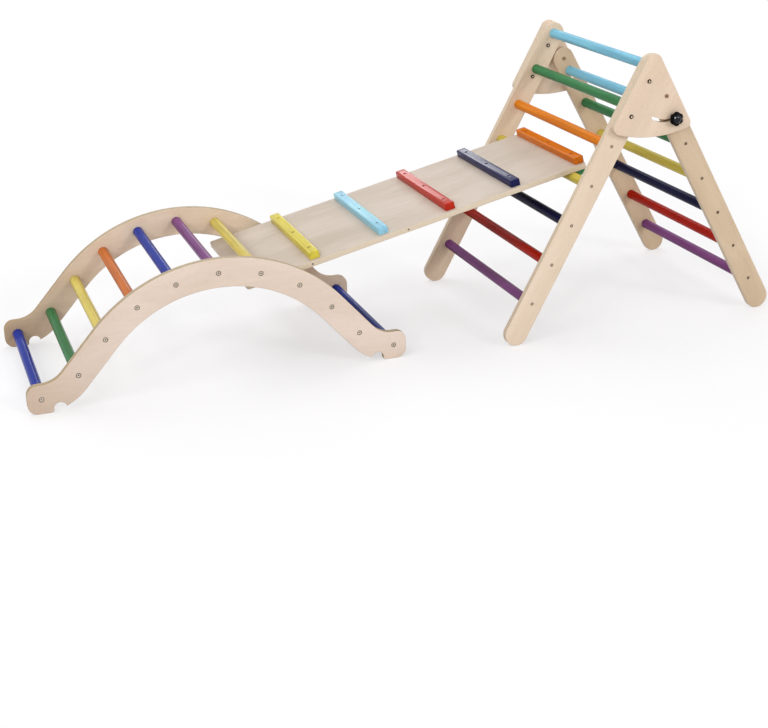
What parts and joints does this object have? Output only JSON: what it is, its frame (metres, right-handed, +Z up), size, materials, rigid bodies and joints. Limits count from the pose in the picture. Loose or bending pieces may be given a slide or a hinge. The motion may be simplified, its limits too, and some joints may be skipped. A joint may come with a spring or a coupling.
{
  "type": "climbing ladder with slide",
  "caption": "Wooden climbing set for small children: a rung arch, a cleated board laid from it to a folding ladder triangle with clamp knobs.",
  "frame": {"origin": "on the floor, under the middle of the assembled set", "axes": "+X along the set from the arch to the folding triangle, +Y across it away from the side the picture shows, +Z up"},
  "size_m": [2.0789, 0.6812, 0.7654],
  "materials": {
    "birch_ply": "clear satin varnish on birch plywood",
    "paint_light_blue": "satin paint on solid wood",
    "paint_green": "satin paint on solid wood",
    "paint_orange": "satin paint on solid wood",
    "paint_yellow": "satin paint on solid wood",
    "paint_navy": "satin paint on solid wood",
    "paint_red": "satin paint on solid wood",
    "paint_purple": "satin paint on solid wood",
    "paint_blue": "satin paint on solid wood",
    "bolt_steel": "dark plated steel",
    "knob_black": "glossy moulded plastic"
  },
  "bodies": {
    "front_ladder": {"front_leg_near": "birch_ply", "front_leg_far": "birch_ply", "front_rung_1": "paint_light_blue", "front_rung_2": "paint_green", "front_rung_3": "paint_orange", "front_rung_4": "paint_yellow", "front_rung_5": "paint_navy", "front_rung_6": "paint_red", "front_rung_7": "paint_purple", "gusset_near": "birch_ply", "pivot_bolt_near": "bolt_steel", "gusset_bolt_near_1": "bolt_steel", "gusset_bolt_near_2": "bolt_steel", "gusset_far": "birch_ply", "pivot_bolt_far": "bolt_steel", "gusset_bolt_far_1": "bolt_steel", "gusset_bolt_far_2": "bolt_steel"},
    "rear_ladder": {"rear_leg_near": "birch_ply", "rear_leg_far": "birch_ply", "rear_rung_1": "paint_light_blue", "rear_rung_2": "paint_green", "rear_rung_3": "paint_yellow", "rear_rung_4": "paint_navy", "rear_rung_5": "paint_red", "rear_rung_6": "paint_purple", "clamp_bolt_near": "bolt_steel", "clamp_bolt_far": "bolt_steel"},
    "knob_near": {"knob_near": "knob_black"},
    "knob_far": {"knob_far": "knob_black"},
    "ramp": {"ramp_board": "birch_ply", "ramp_cleat_1": "paint_yellow", "ramp_cleat_2": "paint_light_blue", "ramp_cleat_3": "paint_red", "ramp_cleat_4": "paint_navy", "ramp_cleat_5": "paint_orange", "ramp_hook_cleat": "paint_green"},
    "arch": {"arch_rail_near": "birch_ply", "arch_rail_far": "birch_ply", "arch_rung_01": "paint_blue", "arch_rung_02": "paint_green", "arch_rung_03": "paint_yellow", "arch_rung_04": "paint_orange", "arch_rung_05": "paint_blue", "arch_rung_06": "paint_purple", "arch_rung_07": "paint_yellow", "arch_rung_08": "paint_green", "arch_rung_09": "paint_purple", "arch_rung_10": "paint_orange", "arch_rung_11": "paint_blue"}
  },
  "joints": [
    {"name": "rear_fold", "type": "hinge", "parent": "front_ladder", "child": "rear_ladder", "pos_m": [0.6757, 0, 0.64986], "axis": [0, 1, 0], "range_deg": [0, 57.4]},
    {"name": "knob_near_turn", "type": "hinge", "parent": "rear_ladder", "child": "knob_near", "pos_m": [0.7015, -0.33, 0.58778], "axis": [0, -1, 0], "continuous": true},
    {"name": "knob_far_turn", "type": "hinge", "parent": "rear_ladder", "child": "knob_far", "pos_m": [0.7015, 0.33, 0.58778], "axis": [0, 1, 0], "continuous": true},
    {"name": "arch_shift", "type": "slide", "parent": "front_ladder", "child": "arch", "axis": [1, 0, 0], "range_m": [-0.1, 0.1]},
    {"name": "ramp_tilt", "type": "hinge", "parent": "front_ladder", "child": "ramp", "pos_m": [0.46907, 0, 0.42075], "axis": [0, -1, 0], "range_deg": [-1.54, 1.54]}
  ],
  "couplings": [
    {"joint": "ramp_tilt", "follows": "arch_shift", "rad_per_m": 0.2646}
  ]
}
